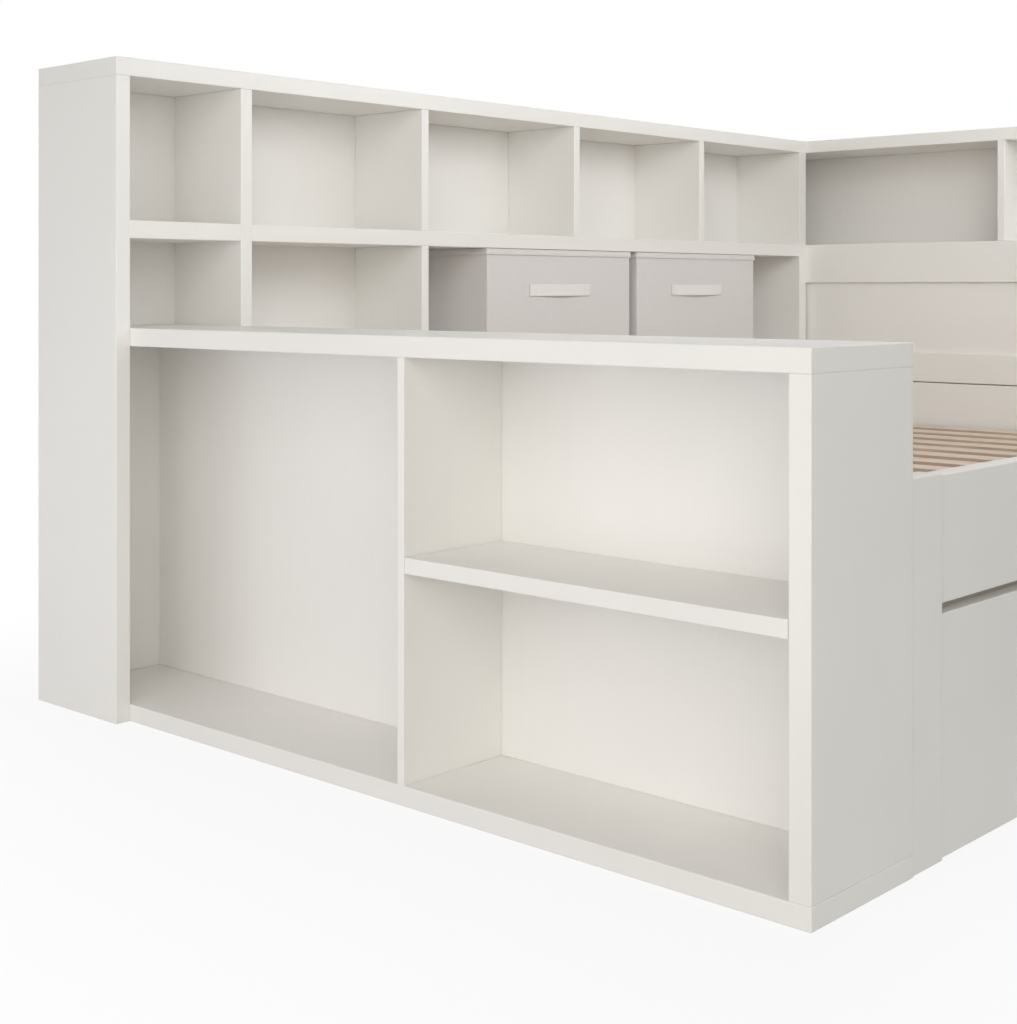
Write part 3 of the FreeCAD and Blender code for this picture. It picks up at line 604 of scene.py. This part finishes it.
def stitch(verts, faces, start, along, out, length):
    """One sewn stitch: a short thread that rises from the cloth and dips back into it."""
    side = along.cross(out)
    rings = []
    for share, lift, thick in STITCH_RINGS:
        middle = start + along * (length * share) + out * (STITCH_THICK * lift)
        rings.append(len(verts))
        for i in range(STITCH_SIDES):
            a = math.tau * i / STITCH_SIDES
            spoke = (side * math.cos(a) + out * math.sin(a)) * (STITCH_THICK * thick)
            verts.append(tuple(middle + spoke))
    for a, b in zip(rings, rings[1:]):
        for i in range(STITCH_SIDES):
            j = (i + 1) % STITCH_SIDES
            faces.append((a + i, a + j, b + j, b + i))
    faces.append(tuple(rings[0] + i for i in reversed(range(STITCH_SIDES))))
    faces.append(tuple(rings[-1] + i for i in range(STITCH_SIDES)))


def sew(verts, faces, start, end, out):
    """A row of stitches from start to end on a surface that looks along out."""
    run = end - start
    along = run.normalized()
    count = max(1, int(run.length / (STITCH_LONG + STITCH_GAP)))
    pitch = run.length / count
    for i in range(count):
        first = start + along * (i * pitch + STITCH_GAP / 2)
        stitch(verts, faces, first, along, out, pitch - STITCH_GAP)


def bin_stitches(name, lid, strap):
    """Hem stitching round the lid's apron, and a boxed cross at each end of the strap."""
    verts, faces = [], []
    low, high = lid
    z = low.z + HEM_HIGH - STITCH_DOWN
    for sign in (1, -1):
        x = (high.x if sign > 0 else low.x) - sign * STITCH_SKIN
        ends = (Vector((x, y, z)) for y in (low.y + STITCH_CORNER, high.y - STITCH_CORNER))
        sew(verts, faces, *ends, Vector((sign, 0, 0)))
        y = (high.y if sign > 0 else low.y) - sign * STITCH_SKIN
        ends = (Vector((x, y, z)) for x in (low.x + STITCH_CORNER, high.x - STITCH_CORNER))
        sew(verts, faces, *ends, Vector((0, sign, 0)))
    low, high = strap
    x = strap_ground(low) + 2 * (STRAP_CLOTH + STRAP_AIR)
    down, up = low.z + STITCH_EDGE, high.z - STITCH_EDGE
    for outer, way in ((low.y, 1), (high.y, -1)):
        near, far = outer + way * STITCH_EDGE, outer + way * (STRAP_TAB - STITCH_EDGE)
        box = [Vector((x, *place)) for place in ((near, down), (far, down), (far, up), (near, up))]
        for i, j in ((0, 1), (1, 2), (2, 3), (3, 0), (0, 2), (1, 3)):
            sew(verts, faces, box[i], box[j], Vector((1, 0, 0)))
    piece = new_piece(name, verts, faces)
    turn_out(piece)
    return piece


def make_bins(materials):
    for body in ("bin_1", "bin_2"):
        box, lid, strap = (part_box(body + part) for part in ("_box", "_lid", "_handle"))
        # piece, the CAD solid it stands for, its material, and its slot in the record
        pieces = ((bin_body(body + "_walls", *box), "_box", "bin_fabric", "bin_fabric"),
                  (bin_cover(body + "_cover", *lid), "_lid", "bin_fabric", "bin_fabric"),
                  (bin_strap(body + "_strap", *strap), "_handle", "webbing", "webbing"),
                  (bin_stitches(body + "_stitches", lid, strap), None, "thread", "webbing"))
        for piece, stands_for, material, slot in pieces:
            piece.data.materials.append(materials[material])
            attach(piece, body)
            if stands_for:
                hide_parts(body + stands_for)


# ---- camera, stage and light --------------------------------------------------------------
def corner():
    """The foot bookcase's right front corner, on the floor."""
    low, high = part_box("foot_bottom")
    return Vector((high.x, low.y, 0.0))


def make_camera():
    larger = max(IMAGE_SIZE)
    data = bpy.data.cameras.new("photo_camera")
    data.sensor_width = SENSOR
    data.lens = SENSOR * FOCAL_PIXELS / larger
    data.shift_x = (IMAGE_SIZE[0] / 2 - MIDDLE_X) / larger
    data.shift_y = -(IMAGE_SIZE[1] / 2 - HORIZON_Y) / larger
    camera = bpy.data.objects.new("photo_camera", data)
    camera.location = corner() + Vector((*CAMERA_FROM_CORNER, CAMERA_HEIGHT))
    camera.rotation_euler = (math.radians(90), 0.0, math.radians(CAMERA_TURN))
    bpy.context.scene.collection.objects.link(camera)
    bpy.context.scene.camera = camera


def seen_by_camera(tree):
    """1 for camera, glossy and transmission rays, which see the plain background."""
    path = tree.nodes.new("ShaderNodeLightPath")
    seen = path.outputs["Is Camera Ray"]
    for name in ("Is Glossy Ray", "Is Transmission Ray"):
        either = tree.nodes.new("ShaderNodeMath")
        either.operation = "MAXIMUM"
        tree.links.new(seen, either.inputs[0])
        tree.links.new(path.outputs[name], either.inputs[1])
        seen = either.outputs[0]
    return seen


def make_world():
    world = bpy.data.worlds.new("studio")
    bpy.context.scene.world = world
    world.use_nodes = True
    tree = world.node_tree
    light = tree.nodes["Background"]
    light.inputs["Color"].default_value = WORLD_COLOUR
    light.inputs["Strength"].default_value = WORLD_STRENGTH
    backdrop = tree.nodes.new("ShaderNodeBackground")
    backdrop.inputs["Color"].default_value = (*WHITE, 1.0)
    blend = tree.nodes.new("ShaderNodeMixShader")
    tree.links.new(seen_by_camera(tree), blend.inputs[0])
    tree.links.new(light.outputs[0], blend.inputs[1])
    tree.links.new(backdrop.outputs[0], blend.inputs[2])
    tree.links.new(blend.outputs[0], tree.nodes["World Output"].inputs["Surface"])


def make_floor(low, high):
    """A pale floor that fades to the backdrop's white away from the bed."""
    mesh = bpy.data.meshes.new("floor")
    corners = [(x * FLOOR_HALF, y * FLOOR_HALF, 0) for x, y in ((-1, -1), (1, -1), (1, 1), (-1, 1))]
    mesh.from_pydata(corners, [], [(0, 1, 2, 3)])
    floor = bpy.data.objects.new("floor", mesh)
    floor.location = ((low.x + high.x) / 2, (low.y + high.y) / 2, 0.0)
    bpy.context.scene.collection.objects.link(floor)
    g = Graph("floor")
    seen = seen_by_camera(g.tree)
    g.finish(g.mix(g.noise(3.0, 3.0), tint(FLOOR, 0.98), FLOOR), 0.7, Specular_IOR_Level=0.2)
    white = g.add("ShaderNodeEmission")
    blend = g.add("ShaderNodeMixShader")
    away = g.add("ShaderNodeSeparateXYZ")
    g.put(away.inputs[0], g.scaled((2 / (high.x - low.x), 2 / (high.y - low.y), 0)))
    away = g.math("MAXIMUM", *(g.math("ABSOLUTE", away.outputs[axis]) for axis in range(2)))
    beyond = g.range(away, *GLOW_EDGE)
    glow = g.math("MULTIPLY", beyond, g.range(away, *GLOW_REACH, GLOW_NEAR, 1.0))
    g.put(blend.inputs[0], g.math("MULTIPLY", seen, glow))
    g.put(blend.inputs[1], g.shader.outputs[0])
    g.put(blend.inputs[2], white.outputs[0])
    g.put(g.tree.nodes["Material Output"].inputs["Surface"], blend.outputs[0])
    mesh.materials.append(g.material)


def softbox(name, place, target, size, power, colour):
    data = bpy.data.lights.new(name, "AREA")
    data.shape = "RECTANGLE"
    data.size, data.size_y = size
    data.energy = power
    data.color = colour
    lamp = bpy.data.objects.new(name, data)
    lamp.location = place
    lamp.visible_camera = False
    lamp.rotation_euler = (Vector(target) - Vector(place)).to_track_quat("-Z", "Y").to_euler()
    bpy.context.scene.collection.objects.link(lamp)


# ---- the whole scene ------------------------------------------------------------------------
def main():
    materials = make_materials()
    dress_cad(materials)
    make_bins(materials)
    make_camera()
    low, high = CAD_BOUNDS
    make_floor(low, high)
    make_world()
    for lamp in LAMPS:
        softbox(*lamp)
    bpy.context.scene.view_settings.view_transform = "Standard"


main()
